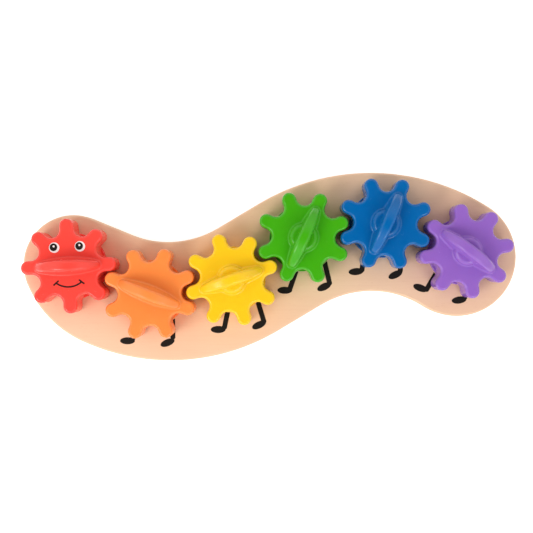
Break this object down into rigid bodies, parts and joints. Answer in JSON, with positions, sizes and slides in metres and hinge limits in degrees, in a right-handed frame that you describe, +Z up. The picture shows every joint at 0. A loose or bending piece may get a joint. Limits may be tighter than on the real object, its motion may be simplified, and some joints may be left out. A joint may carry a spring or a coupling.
{
  "type": "wooden gear toy",
  "caption": "S-shaped wooden board with a row of meshing plastic gears on pegs, each turned by a grip fin and lifted off by hand; the first gear has a printed smiling face.",
  "frame": {"origin": "under the middle of the board, on the surface it lies on", "axes": "+X from the head to the tail along the board, +Y across the board towards the head's upper side, +Z up out of the board"},
  "size_m": [0.3674, 0.14, 0.05],
  "materials": {
    "board_wood": "pale sanded hardwood ply with a thin satin clear coat",
    "peg_wood": "plain sanded dowel",
    "red_plastic": "red moulded plastic, semi-gloss",
    "orange_plastic": "orange moulded plastic, semi-gloss",
    "yellow_plastic": "yellow moulded plastic, semi-gloss",
    "green_plastic": "green moulded plastic, semi-gloss",
    "blue_plastic": "blue moulded plastic, semi-gloss",
    "purple_plastic": "purple moulded plastic, semi-gloss",
    "black_print": "black screen print",
    "white_print": "white screen print"
  },
  "bodies": {
    "board": {"board": "board_wood", "red_peg": "peg_wood", "orange_peg": "peg_wood", "yellow_peg": "peg_wood", "green_peg": "peg_wood", "blue_peg": "peg_wood", "purple_peg": "peg_wood", "orange_leg_print": "black_print", "yellow_leg_print": "black_print", "green_leg_print": "black_print", "blue_leg_print": "black_print", "purple_leg_print": "black_print"},
    "red_hub": {"red_hub": "red_plastic"},
    "red_gear": {"red_gear": "red_plastic", "eye_whites": "white_print", "eye_pupils": "black_print", "eye_glints": "white_print", "smile": "black_print"},
    "orange_hub": {"orange_hub": "orange_plastic"},
    "orange_gear": {"orange_gear": "orange_plastic"},
    "yellow_hub": {"yellow_hub": "yellow_plastic"},
    "yellow_gear": {"yellow_gear": "yellow_plastic"},
    "green_hub": {"green_hub": "green_plastic"},
    "green_gear": {"green_gear": "green_plastic"},
    "blue_hub": {"blue_hub": "blue_plastic"},
    "blue_gear": {"blue_gear": "blue_plastic"},
    "purple_hub": {"purple_hub": "purple_plastic"},
    "purple_gear": {"purple_gear": "purple_plastic"}
  },
  "joints": [
    {"name": "red_lift", "type": "slide", "parent": "board", "child": "red_hub", "axis": [0, 0, 1], "range_m": [0, 0.02]},
    {"name": "red_spin", "type": "hinge", "parent": "red_hub", "child": "red_gear", "pos_m": [-0.14507, 0.00041, 0.011], "axis": [0, 0, 1], "continuous": true},
    {"name": "orange_lift", "type": "slide", "parent": "board", "child": "orange_hub", "axis": [0, 0, 1], "range_m": [0, 0.02]},
    {"name": "orange_spin", "type": "hinge", "parent": "orange_hub", "child": "orange_gear", "pos_m": [-0.08659, -0.01956, 0.011], "axis": [0, 0, 1], "continuous": true},
    {"name": "yellow_lift", "type": "slide", "parent": "board", "child": "yellow_hub", "axis": [0, 0, 1], "range_m": [0, 0.02]},
    {"name": "yellow_spin", "type": "hinge", "parent": "yellow_hub", "child": "yellow_gear", "pos_m": [-0.02744, -0.00945, 0.011], "axis": [0, 0, 1], "continuous": true},
    {"name": "green_lift", "type": "slide", "parent": "board", "child": "green_hub", "axis": [0, 0, 1], "range_m": [0, 0.02]},
    {"name": "green_spin", "type": "hinge", "parent": "green_hub", "child": "green_gear", "pos_m": [0.02428, 0.02096, 0.011], "axis": [0, 0, 1], "continuous": true},
    {"name": "blue_lift", "type": "slide", "parent": "board", "child": "blue_hub", "axis": [0, 0, 1], "range_m": [0, 0.02]},
    {"name": "blue_spin", "type": "hinge", "parent": "blue_hub", "child": "blue_gear", "pos_m": [0.08342, 0.03107, 0.011], "axis": [0, 0, 1], "continuous": true},
    {"name": "purple_lift", "type": "slide", "parent": "board", "child": "purple_hub", "axis": [0, 0, 1], "range_m": [0, 0.02]},
    {"name": "purple_spin", "type": "hinge", "parent": "purple_hub", "child": "purple_gear", "pos_m": [0.14191, 0.0111, 0.011], "axis": [0, 0, 1], "continuous": true}
  ],
  "couplings": [
    {"joint": "orange_spin", "follows": "red_spin", "ratio": -1},
    {"joint": "yellow_spin", "follows": "red_spin", "ratio": 1},
    {"joint": "green_spin", "follows": "red_spin", "ratio": -1},
    {"joint": "blue_spin", "follows": "red_spin", "ratio": 1},
    {"joint": "purple_spin", "follows": "red_spin", "ratio": -1}
  ]
}
